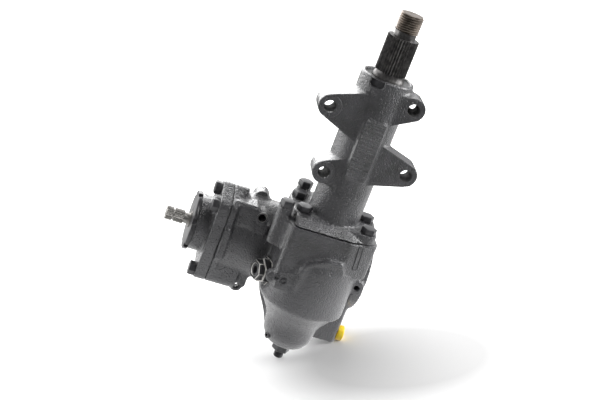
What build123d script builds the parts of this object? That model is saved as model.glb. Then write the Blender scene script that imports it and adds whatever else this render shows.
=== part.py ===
from build123d import *
import os
from math import acos, atan2, cos, degrees, pi, radians, sin, sqrt, tan

# Integral power steering gearbox: worm, ball nut piston with rack teeth, and sector shaft.
# Millimetres. The origin is the centre of the four chassis bolt holes on the mounting face,
# which faces -Y. +Z is up, and the sector shaft leans towards +X.
os.makedirs("parts", exist_ok=True)

# Chassis mounting
bolt_spacing_x = 92.0
bolt_spacing_z = 77.0
bolt_hole_d = 13.5
ear_r = 13.5
ear_depth = 26.0
shaft_depth = 26.0
shaft_lean = 15.0

# Rack, sector and worm mechanism
sector_pitch_r = 32.0
teeth_per_turn = 10
pressure_angle = 25.0
addendum = 5.0
tooth_clearance = 0.8
backlash = 0.3
flank_points = 6
sector_face = 40.0
fan_half_angle = 48.0
worm_lead = 12.7
rack_line = 24.0
worm_height = -183.5
ball_r = 2.78
ball_circle_r = 12.15
track_gap = 0.07
ball_step = 31.0
ball_start = 0.35

# Fits
running_fit = 0.05
seal_fit = 0.02
free_gap = 0.3
thread_gap = 0.05

# Sector shaft, by height along it
journal_r = 19.0
lower_journal_r = 15.0
shaft_foot = -248.0
serration_r = 18.0
serration_count = 36
serration_depth = 1.5
serration_foot = 76.0
serration_top = 116.8
shaft_neck_r = 12.4
thread_r = 13.5
thread_foot = 124.1
thread_top = 143.9
thread_chamfer = 1.2

# Sector shaft tube
tube_r = 30.5
tube_top = 70.5
tube_rim_chamfer = 1.5
rim_recess = 2.5
gasket_plane = -115.5
gasket_t = 0.6
flange_t = 10.7
flange_pad_r = 11.0
ear_web_r = 5.0
ear_ring_r = 11.5
ear_ring_width = 0.8
ear_ring_depth = 0.5
plate_width = 25.0
plate_height = 71.5
plate_proud = 0.8
plate_low = -46.5
notch_left = -21.0
notch_width = 14.0
notch_height = 10.0
rib_width = 8.0
rib_depth = 18.0
rib_foot = 37.0
rib_top = 62.0

# Sector shaft bearings and seals
bearing_wall = 4.0
bearing_l = 26.0
middle_bearing_foot = -110.0
lower_bearing_foot = -236.0
seal_wall = 7.0
seal_l = 9.0
dust_cover_t = 2.5
bore_relief = 0.8

# Gear housing, block and sector bowl
front_depth = 43.0
front_corner = 24.2
pad_depth = 27.0
block_foot_left = -176.0
block_foot_right = -162.0
block_foot_r = 5.0
block_left = 49.5
block_right = 56.0
block_corner_r = 7.0
back_left = 36.0
back_right = 44.0
bowl_r = 52.0
bowl_top = -143.0
bowl_floor = -277.5
bowl_floor_r = 19.5
bowl_nose_r = 27.8
bowl_side = [(28.5, -267.0), (31.0, -255.0), (33.5, -243.0), (41.0, -231.0), (49.0, -219.0)]
cavity_front_r = 28.0
cavity_front_low_r = 31.0
cavity_gap = 1.5
cavity_fan_half_angle = 46.0
cavity_low_front = 12.0

# Worm cylinder, by distance along the worm from the sector shaft
bore_r = 38.0
cylinder_r = 46.0
cylinder_foot = -70.0
end_rim_r = 50.0
end_rim_l = 12.0
crown_r = 40.0
crown_at = (-3.5, 10.0)
seam_flange_t = 8.0
seam_flange_r = 44.0
cover_lobe_r = 10.0
web_foot = 76.0
web_core_r = 36.0
end_cover_foot = -67.0
end_cover_t = 4.0
end_ring_groove = 1.5
end_ring_t = 2.0
partition_t = 6.0
valve_chamber = 13.0
collar_bore_r = 27.5
seam = 112.0
worm_seal_r = 15.0
thrust_bearing_wall = 2.0
end_cover_boss_r = 14.0
end_cover_boss_t = 3.0
end_ring_in = 2.0
end_ring_gap = 9.0
o_ring_r = 1.2

# Rack piston
piston_foot = -37.0
piston_top = 58.0
rack_top = 40.0
nut_foot = -33.0
nut_track_turns = 2
piston_ring_foot = 50.0
piston_ring_t = 3.0
piston_ring_depth = 2.5
guide_r = 3.4
guide_bore_r = 2.85
guide_line = 29.5
guide_bend_r = 3.6
pocket_floor = 25.8
clamp_width = 28.0
clamp_l = 8.0
clamp_top = 33.8
clamp_screw_r = 1.5
clamp_screw_head_r = 2.3
clamp_screw_head = 1.4
clamp_screw_spacing = 20.0
clamp_screw_l = 12.0

# Worm, torsion bar and valve
worm_foot = -6.0
worm_r = 12.0
worm_track_start = -8.0
worm_track_turns = 7
worm_bore_foot = 10.0
worm_bore_r = 4.2
torsion_bar_r = 3.2
bar_foot = 12.0
bar_foot_l = 14.0
bar_head_l = 14.0
bar_head_gap = 1.0
bar_pin_in = 6.0
bar_pin_r = 2.0
collar_r = 27.0
collar_t = 5.0
thrust_race = 4.0
tongue_width = 10.3
tongue_r = 12.4
tongue_depth = 4.0
valve_swing = 4.0
sleeve_r = 22.0
sleeve_end_gap = 2.0
rotor_r = 13.0
sleeve_ring_count = 3
sleeve_ring_t = 1.8
sleeve_ring_depth = 1.5
sleeve_ring_pitch = 4.6
sleeve_port_r = 0.8
valve_slots = 6
valve_slot_width = 3.0
valve_slot_depth = 1.0
valve_slot_end = 3.0

# Valve cover and bearing adjuster
cover_t = 14.0
cap_r = 34.0
cap_l = 17.0
ring_t = 5.0
ring_r = 36.0
ring_notches = 6
ring_notch_width = 7.0
ring_notch_depth = 3.5
adjuster_r = 27.5
adjuster_l = 9.0
input_bearing_r = 15.0
input_bearing_l = 6.0
adjuster_lip = 1.0
ring_notch_turn = 20.0
cover_chamfer = 1.0

# Input shaft
input_journal_r = 10.0
input_neck_r = 6.8
input_land_r = 8.3
input_serrations = 24
input_serration_depth = 0.8
input_groove_r = 6.6
input_journal_out = 1.0
input_neck_l = 7.1
input_land_l = 11.7
input_groove_l = 1.9
input_tip_l = 8.4
input_chamfer = 0.6

# Hardware
hex_chamfer = 0.8
tube_bolt_af = 16.0
tube_bolt_head = 7.0
tube_bolt_r = 5.0
tube_bolt_l = 28.0
high_bolt_rise = 8.0
high_boss_r = 8.5
cover_bolt_af = 15.0
cover_bolt_head = 8.0
cover_bolt_r = 4.0
cover_bolt_l = 28.0
plug_af = 15.0
plug_head = 8.0
plug_r = 5.0
plug_l = 12.0
plug_boss_r = 8.5
plug_web_end = (-44.0, -30.0)
plug_web_r = 6.0
plug_boss_top = -103.0
plug_boss_foot = -150.0
screw_r = 5.8
screw_pocket = 7.0
screw_head_r = 7.0
screw_head_t = 3.5
screw_tip = -299.0
screw_socket_af = 6.0
screw_socket_depth = 6.0
screw_pocket_r = 8.0
retainer_t = 3.0
lock_nut_af = 19.0
lock_nut_t = 12.0
lock_washer_r = 11.0
lock_washer_t = 1.5

# Ports and lugs
union_turn = 21.5
union_boss_r = 15.0
union_spot_r = 17.0
union_boss_l = 28.0
union_af = 27.0
union_t = 10.0
union_shank_r = 9.0
union_shank_l = 12.0
nipple_r = 8.0
nipple_bore_r = 4.5
nipple_out = 6.0
foot_right = 65.5
foot_left = 27.9
foot_front = 20.0
foot_back = 80.0
foot_floor = -273.0
foot_corner_r = 6.0
foot_web_front = 18.0
foot_web_t = 20.0
foot_web = [(-47.0, -200.0), (-46.5, -232.0), (-32.0, -256.0), (-25.0, -273.0)]
transit_r = 9.5
transit_t = 8.0
transit_round = 1.2
transit_shank_r = 8.0
transit_shank_l = 10.0
transit_at = (32.0, -262.5)
front_port_r = 4.5
front_port_depth = 14.0
front_boss_r = 7.5
gallery_back = 3.0
gallery_end = (-28.0, 6.0)
gallery_r = 5.0
rear_boss_r = 10.0
rear_boss_l = 20.0
rear_port_depth = 17.0
rear_port_r = 5.0
lug_hole_r = 3.3
left_lug_r = 8.0
lug_t = 12.0
right_lug_r = 9.0
right_lug_t = 30.0
pad_hole_r = 2.8
pad_l = 28.0
pad_w = 14.0
pad_t = 12.0
worm_seal_l = 4.0
cover_o_ring_r = 31.2
union_at = (-50.6, -5.0, -192.8)
front_port_at = (40.0, 43.5, 73.4)
rear_port_at = (-28.0, 47.5, 73.5)
left_lug_at = (30.0, -53.6, 73.2)
right_lug_at = (55.0, -2.4, -59.5)
pad_at = (-42.0, -38.0, -184.5)

# Worked out from the sizes above
worm_offset = sector_pitch_r + rack_line
tooth_pitch = 2 * pi * sector_pitch_r / teeth_per_turn
sector_tip_r = sector_pitch_r + addendum
sector_root_r = sector_pitch_r - addendum - tooth_clearance
cavity_r = sector_tip_r + cavity_gap
sector_foot = worm_height - sector_face / 2
flange_foot = gasket_plane + gasket_t
flange_top = flange_foot + flange_t
bearing_r = journal_r + bearing_wall
seal_r = journal_r + seal_wall
lower_bearing_r = lower_journal_r + bearing_wall
piston_r = bore_r - running_fit
cover_front = seam + cover_t
ring_foot = cover_front + cap_l
ring_top = ring_foot + ring_t
adjuster_foot = ring_foot - adjuster_l
tilt = radians(shaft_lean)
seal_foot = tube_top - rim_recess - dust_cover_t - seal_l
upper_bearing_foot = seal_foot - bearing_l - 1
screw_top = shaft_foot + screw_pocket
partition_top = seam - valve_chamber
bore_top = partition_top - partition_t
collar_foot = partition_top + thrust_race
collar_top = collar_foot + collar_t
sleeve_top = adjuster_foot - sleeve_end_gap
bar_top = sleeve_top + bar_head_gap
bar_pin_at = bar_top - bar_pin_in
input_journal_top = ring_top + input_journal_out
input_land_foot = input_journal_top + input_neck_l
input_groove_foot = input_land_foot + input_land_l
input_groove_top = input_groove_foot + input_groove_l
input_top = input_groove_top + input_tip_l

# Frames: along the sector shaft (x to the right, y away, z up the shaft), along the worm
# (x forward, y up, z out of the input end), and side views for turned and toothed parts.
shaft_frame = Plane(
    origin=(0, shaft_depth, 0), x_dir=(cos(tilt), 0, -sin(tilt)), z_dir=(sin(tilt), 0, cos(tilt))
)
shaft_axis = Axis(shaft_frame.origin, shaft_frame.z_dir)
shaft_side = Plane(
    origin=shaft_frame.origin, x_dir=shaft_frame.x_dir, z_dir=-shaft_frame.y_dir
)
worm_frame = Plane(
    origin=shaft_frame.from_local_coords(Vector(0, worm_offset, worm_height)),
    x_dir=-shaft_frame.y_dir,
    z_dir=-shaft_frame.x_dir,
)
worm_axis = Axis(worm_frame.origin, worm_frame.z_dir)
worm_side = Plane(
    origin=worm_frame.origin, x_dir=worm_frame.z_dir, z_dir=shaft_frame.y_dir
)
rack_side = Plane(
    origin=worm_frame.origin, x_dir=worm_frame.z_dir, z_dir=shaft_frame.z_dir
)

def on_shaft(right, away, height):
    """A point given along the sector shaft's own directions."""
    return shaft_frame.from_local_coords(Vector(right, away, height))


def on_worm(forward, up, out):
    """A point given along the worm's own directions."""
    return worm_frame.from_local_coords(Vector(forward, up, out))


pin_frame = Plane(origin=on_worm(0, 0, bar_pin_at), x_dir=worm_frame.z_dir, z_dir=shaft_frame.z_dir)
sleeve_ring_feet = [seam + 2 + k * sleeve_ring_pitch for k in range(sleeve_ring_count)]
sleeve_port_rows = [at + sleeve_ring_pitch / 2 for at in sleeve_ring_feet[:-1]]

# Bolt places, as (right, away) of the sector shaft or (forward, up) of the worm
tube_bolt_places = [(-37.4, -14), (-40, 26), (39.5, -24), (41.5, 14), (26.6, 45)]
high_bolt_place = (-34.5, 44)
plug_place = (-58.9, -19)
cover_bolt_places = [(7.2, 52), (34.8, 41.3), (26, -48.5), (-40, -32), (-50, 0)]

# Mounting ears: hole place, and the two points where the web runs into the tube
ears = [
    ((-bolt_spacing_x / 2, bolt_spacing_z / 2), [(-9, 50), (-15, 4)]),
    ((bolt_spacing_x / 2, bolt_spacing_z / 2), [(18, 50), (14, 22)]),
    ((-bolt_spacing_x / 2, -bolt_spacing_z / 2), [(-22, -27), (-26, -52)]),
    ((bolt_spacing_x / 2, -bolt_spacing_z / 2), [(13, -8), (6, -47)]),
]


def save(piece, name):
    """Label a finished piece and write it."""
    piece.part.label = name
    export_step(piece.part, f"parts/{name}.step")


def ring(frame, foot, top, outer_r, inner_r):
    """A plain ring along a frame's z axis."""
    with BuildPart() as piece:
        with BuildSketch(frame.offset(foot)):
            Circle(outer_r)
            Circle(inner_r, mode=Mode.SUBTRACT)
        extrude(amount=top - foot)
    return piece


def o_ring(axis, side, at, centre_r, cord_r):
    """A round-section ring about an axis."""
    with BuildPart() as piece:
        with BuildSketch(side):
            with Locations((at, centre_r)):
                Circle(cord_r)
        revolve(axis=axis)
    return piece


def hex_bolts(frame, places, seat, head_af, head_t, shank_r, shank_l):
    """Hex-headed bolts, heads on a seat plane and shanks below it, as separate solids."""
    with BuildPart() as bolts:
        with BuildSketch(frame.offset(seat)):
            with Locations(*places):
                RegularPolygon(head_af / sqrt(3), 6)
        extrude(amount=head_t)
        top = bolts.faces().group_by(Axis(frame.origin, frame.z_dir))[-1]
        chamfer(top.edges(), hex_chamfer)
        with BuildSketch(frame.offset(seat)):
            with Locations(*places):
                Circle(shank_r)
        extrude(amount=-shank_l)
    return bolts


def serration_points(outer_r, count, depth):
    """Points round a serrated section, a crest and a root for each tooth."""
    radii = [outer_r, outer_r - depth] * count
    turns = [pi * step / count for step in range(2 * count)]
    return [(r * cos(turn), r * sin(turn)) for r, turn in zip(radii, turns)]


def tooth_flank(side):
    """Points up one involute flank of a sector tooth that stands along +Y."""
    base_r = sector_pitch_r * cos(radians(pressure_angle))
    pitch_roll = tan(radians(pressure_angle)) - radians(pressure_angle)
    half_tooth = (tooth_pitch - backlash) / 4 / sector_pitch_r
    points = []
    for step in range(flank_points):
        r = base_r + (sector_tip_r - base_r) * step / (flank_points - 1)
        at = acos(base_r / r)
        half = half_tooth + pitch_roll - (tan(at) - at)
        points.append((side * r * sin(half), r * cos(half)))
    return points


def lobed_outline(places, core_r):
    """A round core with a lobe for each bolt, drawn together as one outline."""
    with Locations(*places):
        Circle(cover_lobe_r)
    Circle(core_r)
    make_hull()


# Sector shaft: a forging with sector teeth at the worm and serrations for the drop arm
with BuildSketch() as sector_tooth:
    with BuildLine():
        right_flank = Spline(*tooth_flank(1))
        left_flank = Spline(*tooth_flank(-1))
        Line(right_flank @ 1, left_flank @ 1)
        Polyline(right_flank @ 0, (right_flank @ 0) * 0.8, (left_flank @ 0) * 0.8, left_flank @ 0)
    make_face()

with BuildPart() as sector_shaft:
    with BuildSketch(shaft_side):
        with BuildLine():
            Polyline(
                (0, shaft_foot),
                (lower_journal_r, shaft_foot),
                (lower_journal_r, sector_foot),
                (journal_r, sector_foot),
                (journal_r, tube_top - rim_recess),
                (serration_r - serration_depth, serration_foot - 2),
                (serration_r - serration_depth, serration_top),
                (shaft_neck_r, serration_top),
                (shaft_neck_r, thread_foot),
                (thread_r, thread_foot),
                (thread_r, thread_top - thread_chamfer),
                (thread_r - thread_chamfer, thread_top),
                (0, thread_top),
                close=True,
            )
        make_face()
    revolve(axis=shaft_axis)
    with BuildSketch(shaft_frame.offset(serration_foot)):
        Polygon(*serration_points(serration_r, serration_count, serration_depth), align=None)
    extrude(amount=serration_top - serration_foot)
    with BuildSketch(shaft_frame.offset(sector_foot)):
        with BuildLine():
            PolarLine((0, 0), sector_root_r, 90 - fan_half_angle)
            fan_arc = CenterArc((0, 0), sector_root_r, 90 - fan_half_angle, 2 * fan_half_angle)
            Line(fan_arc @ 1, (0, 0))
        make_face()
        with Locations(*[Location((0, 0, 0), (0, 0, k * 360 / teeth_per_turn)) for k in (-1, 0, 1)]):
            add(sector_tooth.sketch)
    extrude(amount=sector_face)
    with BuildSketch(shaft_frame.offset(shaft_foot)):
        Circle(screw_pocket_r)
    extrude(amount=screw_top - shaft_foot + free_gap, mode=Mode.SUBTRACT)
save(sector_shaft, "sector_shaft")


# Sector shaft tube: an iron casting with the flange, four ears and a bare raised plate
with BuildPart() as shaft_tube:
    with BuildSketch(shaft_frame.offset(flange_foot)):
        with Locations(*tube_bolt_places, high_bolt_place):
            Circle(flange_pad_r)
        Circle(tube_r)
        make_hull()
    extrude(amount=flange_t)
    with BuildSketch(shaft_frame.offset(flange_top)):
        with Locations(high_bolt_place):
            Circle(high_boss_r)
    extrude(amount=high_bolt_rise)
    with BuildSketch(shaft_frame.offset(flange_foot)):
        Circle(tube_r)
    extrude(amount=tube_top - flange_foot)
    chamfer(shaft_tube.faces().sort_by(shaft_axis)[-1].edges(), tube_rim_chamfer)
    for hole, web in ears:
        with BuildSketch(Plane.XZ):
            with Locations(hole):
                Circle(ear_r)
            with Locations(*web):
                Circle(ear_web_r)
            make_hull()
        extrude(amount=-ear_depth)
    with BuildSketch(shaft_side.offset(tube_r + plate_proud)):
        with Locations((0, plate_low + plate_height / 2)):
            RectangleRounded(plate_width, plate_height, 2)
    extrude(amount=-tube_r / 2)
    with BuildSketch(shaft_frame.offset(rib_foot)):
        with Locations((tube_r, 0)):
            RectangleRounded(rib_width, rib_depth, 3)
    extrude(amount=rib_top - rib_foot)
    with BuildSketch(shaft_side):
        with BuildLine():
            Polyline(
                (0, flange_foot),
                (bearing_r, flange_foot),
                (bearing_r, middle_bearing_foot + bearing_l),
                (journal_r + bore_relief, middle_bearing_foot + bearing_l),
                (journal_r + bore_relief, upper_bearing_foot),
                (bearing_r, upper_bearing_foot),
                (bearing_r, seal_foot),
                (seal_r, seal_foot),
                (seal_r, tube_top),
                (0, tube_top),
                close=True,
            )
        make_face()
    revolve(axis=shaft_axis, mode=Mode.SUBTRACT)
    with BuildSketch(shaft_side.offset(tube_r + plate_proud)):
        with Locations((notch_left, tube_top)):
            Rectangle(notch_width, notch_height, align=(Align.MIN, Align.MAX))
    extrude(amount=-tube_r / 2, mode=Mode.SUBTRACT)
    with BuildSketch(Plane.XZ):
        with Locations(*[hole for hole, web in ears]):
            Circle(bolt_hole_d / 2)
    extrude(amount=-ear_depth, mode=Mode.SUBTRACT)
    with BuildSketch(Plane.XZ):
        with Locations(ears[0][0], ears[2][0]):
            Circle(ear_ring_r)
            Circle(ear_ring_r - ear_ring_width, mode=Mode.SUBTRACT)
    extrude(amount=-ear_ring_depth, mode=Mode.SUBTRACT)
    with BuildSketch(shaft_frame.offset(flange_foot)):
        with Locations(*tube_bolt_places, high_bolt_place):
            Circle(tube_bolt_r + thread_gap)
    extrude(amount=flange_t + high_bolt_rise, mode=Mode.SUBTRACT)
save(shaft_tube, "shaft_tube")


# Gear housing: one iron casting with the sector bowl, the worm cylinder, ports and lugs
union_direction = (
    worm_frame.z_dir * cos(radians(union_turn)) + worm_frame.x_dir * sin(radians(union_turn))
)
union_frame = Plane(
    origin=on_shaft(*union_at), x_dir=shaft_frame.z_dir, z_dir=union_direction
)
transit_frame = Plane(
    origin=on_shaft(foot_right, *transit_at), x_dir=shaft_frame.y_dir, z_dir=shaft_frame.x_dir
)
front_port_frame = Plane(
    origin=on_worm(*front_port_at), x_dir=shaft_frame.x_dir, z_dir=worm_frame.x_dir
)
rear_port_frame = Plane(
    origin=on_worm(*rear_port_at), x_dir=shaft_frame.x_dir, z_dir=-worm_frame.x_dir
)
left_lug_frame = Plane(
    origin=on_worm(*left_lug_at), x_dir=shaft_frame.x_dir, z_dir=worm_frame.x_dir
)
right_lug_frame = Plane(
    origin=on_worm(*right_lug_at), x_dir=shaft_frame.x_dir, z_dir=worm_frame.x_dir
)
pad_frame = Plane(
    origin=on_shaft(*pad_at), x_dir=shaft_frame.x_dir, z_dir=worm_frame.x_dir
)

with BuildPart() as gear_housing:
    # Bolt block under the tube's flange
    with BuildSketch(shaft_frame.offset(gasket_plane)) as block_outline:
        with BuildLine():
            Polyline(
                (-block_left, -front_depth),
                (front_corner, -front_depth),
                (block_right, -pad_depth),
                (block_right, pad_depth),
                (back_right, worm_offset),
                (-back_left, worm_offset),
                (-block_left, pad_depth),
                close=True,
            )
        make_face()
        fillet(block_outline.vertices(), block_corner_r)
    extrude(amount=block_foot_left - gasket_plane)
    with BuildSketch(shaft_side):
        Polygon(
            (-block_left, block_foot_left),
            (block_right, block_foot_right),
            (block_right, block_foot_left),
            align=None,
        )
    extrude(amount=2 * worm_offset, both=True, mode=Mode.SUBTRACT)
    fillet(gear_housing.faces().sort_by(shaft_axis)[0].edges(), block_foot_r)
    # Filler boss at the left corner
    with BuildSketch(shaft_frame.offset(plug_boss_foot)):
        with Locations(plug_place):
            Circle(plug_boss_r)
    extrude(amount=plug_boss_top - plug_boss_foot)
    with BuildSketch(shaft_frame.offset(plug_boss_foot)):
        with Locations(plug_place):
            Circle(plug_web_r)
        with Locations(plug_web_end):
            Circle(plug_web_r)
        make_hull()
    extrude(amount=gasket_plane - plug_boss_foot)
    # Sector bowl, turned about the sector shaft
    with BuildSketch(shaft_side):
        with BuildLine():
            rim = Polyline(
                (0, bowl_floor),
                (bowl_floor_r, bowl_floor),
                (bowl_nose_r - 3, bowl_floor + 4),
            )
            side = Spline(
                rim @ 1,
                *bowl_side,
                (bowl_r, worm_height),
                tangents=((0.4, 1), (0, 1)),
            )
            Polyline(
                side @ 1,
                (bowl_r, bowl_top - 14),
                (bowl_r - 8, bowl_top),
                (0, bowl_top),
                rim @ 0,
            )
        make_face()
    revolve(axis=shaft_axis)
    # Worm cylinder with its crown, the flange at the seam and the web under the lower bolts
    with BuildSketch(worm_frame.offset(cylinder_foot)):
        Circle(cylinder_r)
        with Locations(crown_at):
            Circle(crown_r)
        make_hull()
    extrude(amount=seam - cylinder_foot)
    with BuildSketch(worm_frame.offset(cylinder_foot)):
        Circle(end_rim_r)
    extrude(amount=end_rim_l)
    with BuildSketch(worm_frame.offset(seam)):
        lobed_outline(cover_bolt_places, seam_flange_r)
    extrude(amount=-seam_flange_t)
    with BuildSketch(worm_frame.offset(web_foot)):
        lobed_outline(cover_bolt_places[2:4], web_core_r)
    extrude(amount=seam - web_foot)
    with BuildSketch(worm_frame.offset(bore_top)):
        lobed_outline(cover_bolt_places[:1], web_core_r)
    extrude(amount=seam - bore_top)
    # Port block under the far end of the worm cylinder
    with BuildSketch(shaft_frame.offset(foot_floor)):
        with Locations(((foot_left + foot_right) / 2, (foot_front + foot_back) / 2)):
            RectangleRounded(foot_right - foot_left, foot_back - foot_front, foot_corner_r)
    extrude(amount=worm_height - foot_floor)
    with BuildSketch(shaft_side.offset(-foot_web_front)):
        Polygon(*foot_web, (foot_left + foot_corner_r, foot_floor), (foot_left, worm_height), align=None)
    extrude(amount=-foot_web_t)
    # Port bosses and bracket lugs
    with BuildSketch(union_frame):
        Circle(union_boss_r)
    extrude(amount=-union_boss_l)
    with BuildSketch(front_port_frame):
        Circle(front_boss_r)
    extrude(amount=-front_port_depth - 6)
    with BuildSketch(front_port_frame.offset(-gallery_back)):
        Circle(front_boss_r)
        with Locations(gallery_end):
            Circle(gallery_r)
        make_hull()
    extrude(amount=-front_port_depth)
    with BuildSketch(rear_port_frame):
        Circle(rear_boss_r)
    extrude(amount=-rear_boss_l)
    with BuildSketch(left_lug_frame):
        Circle(left_lug_r)
        with Locations((0, left_lug_r)):
            Rectangle(2.6 * left_lug_r, 2 * left_lug_r)
    extrude(amount=-lug_t)
    with BuildSketch(right_lug_frame):
        Circle(right_lug_r)
    extrude(amount=-right_lug_t)
    with BuildSketch(pad_frame):
        SlotOverall(pad_l, pad_w)
    extrude(amount=-pad_t)
    # Sector cavity: an opening the teeth pass through, and the full sweep below it
    with BuildSketch(shaft_frame.offset(gasket_plane)):
        Circle(cavity_front_r)
        with BuildLine():
            cavity_arc = CenterArc(
                (0, 0),
                cavity_r,
                90 - cavity_fan_half_angle,
                2 * cavity_fan_half_angle,
            )
            Polyline(cavity_arc @ 1, (0, 0), cavity_arc @ 0)
        make_face()
    extrude(amount=sector_foot - free_gap - gasket_plane, mode=Mode.SUBTRACT)
    with BuildSketch(shaft_frame.offset(sector_foot - 2)):
        Circle(cavity_r)
        with Locations((0, -cavity_low_front)):
            Rectangle(3 * cavity_r, 2 * cavity_r, align=(Align.CENTER, Align.MAX), mode=Mode.SUBTRACT)
        Circle(cavity_front_low_r)
    extrude(amount=sector_face + 4, mode=Mode.SUBTRACT)
    # Lower bearing seat, shaft foot and screw hole
    with BuildSketch(shaft_frame.offset(lower_bearing_foot)):
        Circle(lower_bearing_r)
    extrude(amount=sector_foot - lower_bearing_foot, mode=Mode.SUBTRACT)
    with BuildSketch(shaft_frame.offset(shaft_foot - 4)):
        Circle(lower_journal_r + 1)
    extrude(amount=lower_bearing_foot - shaft_foot + 4, mode=Mode.SUBTRACT)
    with BuildSketch(shaft_frame.offset(bowl_floor)):
        Circle(screw_r + thread_gap)
    extrude(amount=shaft_foot - 4 - bowl_floor, mode=Mode.SUBTRACT)
    # Piston bore, end ring groove, partition and bearing bore
    with BuildSketch(worm_frame.offset(cylinder_foot)):
        Circle(bore_r)
    extrude(amount=bore_top - cylinder_foot, mode=Mode.SUBTRACT)
    with BuildSketch(worm_frame.offset(end_cover_foot - end_ring_t)):
        Circle(bore_r + end_ring_groove)
    extrude(amount=end_ring_t, mode=Mode.SUBTRACT)
    with BuildSketch(worm_frame.offset(bore_top)):
        Circle(worm_r + free_gap)
    extrude(amount=partition_t, mode=Mode.SUBTRACT)
    with BuildSketch(worm_frame.offset(partition_top)):
        Circle(collar_bore_r)
    extrude(amount=seam - partition_top, mode=Mode.SUBTRACT)
    with BuildSketch(worm_frame.offset(partition_top - worm_seal_l)):
        Circle(worm_seal_r)
    extrude(amount=worm_seal_l, mode=Mode.SUBTRACT)
    with BuildSketch(worm_frame.offset(seam - 2 * o_ring_r)):
        Circle(cover_o_ring_r + o_ring_r)
        Circle(cover_o_ring_r - o_ring_r, mode=Mode.SUBTRACT)
    extrude(amount=2 * o_ring_r, mode=Mode.SUBTRACT)
    # Bolt holes and ports
    with BuildSketch(shaft_frame.offset(gasket_plane)):
        with Locations(*tube_bolt_places, high_bolt_place):
            Circle(tube_bolt_r + thread_gap)
    extrude(amount=flange_top - tube_bolt_l - gasket_plane - 2, mode=Mode.SUBTRACT)
    with BuildSketch(worm_frame.offset(seam)):
        with Locations(*cover_bolt_places):
            Circle(cover_bolt_r + thread_gap)
    extrude(amount=cover_front - cover_bolt_l - seam - 2, mode=Mode.SUBTRACT)
    with BuildSketch(shaft_frame.offset(plug_boss_top)):
        with Locations(plug_place):
            Circle(plug_r + thread_gap)
    extrude(amount=-plug_l - 2, mode=Mode.SUBTRACT)
    with BuildSketch(union_frame):
        Circle(union_spot_r)
    extrude(amount=union_t + nipple_out, mode=Mode.SUBTRACT)
    with BuildSketch(union_frame):
        Circle(union_shank_r + thread_gap)
    extrude(amount=-union_shank_l - 2, mode=Mode.SUBTRACT)
    with BuildSketch(transit_frame):
        Circle(transit_shank_r)
    extrude(amount=-transit_shank_l - 4, mode=Mode.SUBTRACT)
    with BuildSketch(front_port_frame):
        Circle(front_port_r)
    extrude(amount=-front_port_depth, mode=Mode.SUBTRACT)
    with BuildSketch(rear_port_frame):
        Circle(rear_port_r)
    extrude(amount=-rear_port_depth, mode=Mode.SUBTRACT)
    with BuildSketch(left_lug_frame):
        Circle(lug_hole_r)
    extrude(amount=-lug_t, mode=Mode.SUBTRACT)
    with BuildSketch(right_lug_frame):
        Circle(lug_hole_r)
    extrude(amount=-right_lug_t / 2, mode=Mode.SUBTRACT)
    with BuildSketch(pad_frame):
        with Locations((pad_l / 4, 0)):
            Circle(pad_hole_r)
    extrude(amount=-pad_t + 4, mode=Mode.SUBTRACT)
save(gear_housing, "gear_housing")


# Tube gasket and the bolts through the flange
with BuildPart() as tube_gasket:
    with BuildSketch(shaft_frame.offset(gasket_plane)):
        with Locations(*tube_bolt_places, high_bolt_place):
            Circle(flange_pad_r)
        Circle(tube_r)
        make_hull()
        Circle(cavity_r, mode=Mode.SUBTRACT)
        with Locations(*tube_bolt_places, high_bolt_place):
            Circle(tube_bolt_r + thread_gap, mode=Mode.SUBTRACT)
    extrude(amount=gasket_t)
save(tube_gasket, "tube_gasket")

tube_bolts = hex_bolts(
    shaft_frame,
    tube_bolt_places,
    flange_top,
    tube_bolt_af,
    tube_bolt_head,
    tube_bolt_r,
    tube_bolt_l,
)
save(tube_bolts, "tube_bolts")

high_bolt = hex_bolts(
    shaft_frame,
    [high_bolt_place],
    flange_top + high_bolt_rise,
    tube_bolt_af,
    tube_bolt_head,
    tube_bolt_r,
    tube_bolt_l + high_bolt_rise,
)
save(high_bolt, "high_bolt")

filler_plug = hex_bolts(
    shaft_frame, [plug_place], plug_boss_top, plug_af, plug_head, plug_r, plug_l
)
save(filler_plug, "filler_plug")


# Sector shaft bearings, oil seal and dust cover
upper_bearing = ring(
    shaft_frame, upper_bearing_foot, upper_bearing_foot + bearing_l, bearing_r, journal_r + running_fit
)
save(upper_bearing, "upper_bearing")
middle_bearing = ring(
    shaft_frame, middle_bearing_foot, middle_bearing_foot + bearing_l, bearing_r, journal_r + running_fit
)
save(middle_bearing, "middle_bearing")
lower_bearing = ring(
    shaft_frame, lower_bearing_foot, sector_foot - 4, lower_bearing_r, lower_journal_r + running_fit
)
save(lower_bearing, "lower_bearing")
sector_seal = ring(shaft_frame, seal_foot, seal_foot + seal_l, seal_r, journal_r + seal_fit)
save(sector_seal, "sector_seal")
dust_cover = ring(
    shaft_frame, seal_foot + seal_l, seal_foot + seal_l + dust_cover_t, seal_r, journal_r + seal_fit
)
save(dust_cover, "dust_cover")


# Adjusting screw: its head hangs in the sector shaft's foot, and a lock nut holds it outside
with BuildPart() as adjusting_screw:
    with BuildSketch(shaft_side):
        with BuildLine():
            Polyline(
                (0, screw_tip),
                (screw_r - hex_chamfer, screw_tip),
                (screw_r, screw_tip + hex_chamfer),
                (screw_r, screw_top - screw_head_t),
                (screw_head_r, screw_top - screw_head_t),
                (screw_head_r, screw_top),
                (0, screw_top),
                close=True,
            )
        make_face()
    revolve(axis=shaft_axis)
    with BuildSketch(shaft_frame.offset(screw_tip)):
        RegularPolygon(screw_socket_af / sqrt(3), 6)
    extrude(amount=screw_socket_depth, mode=Mode.SUBTRACT)
save(adjusting_screw, "adjusting_screw")

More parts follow.
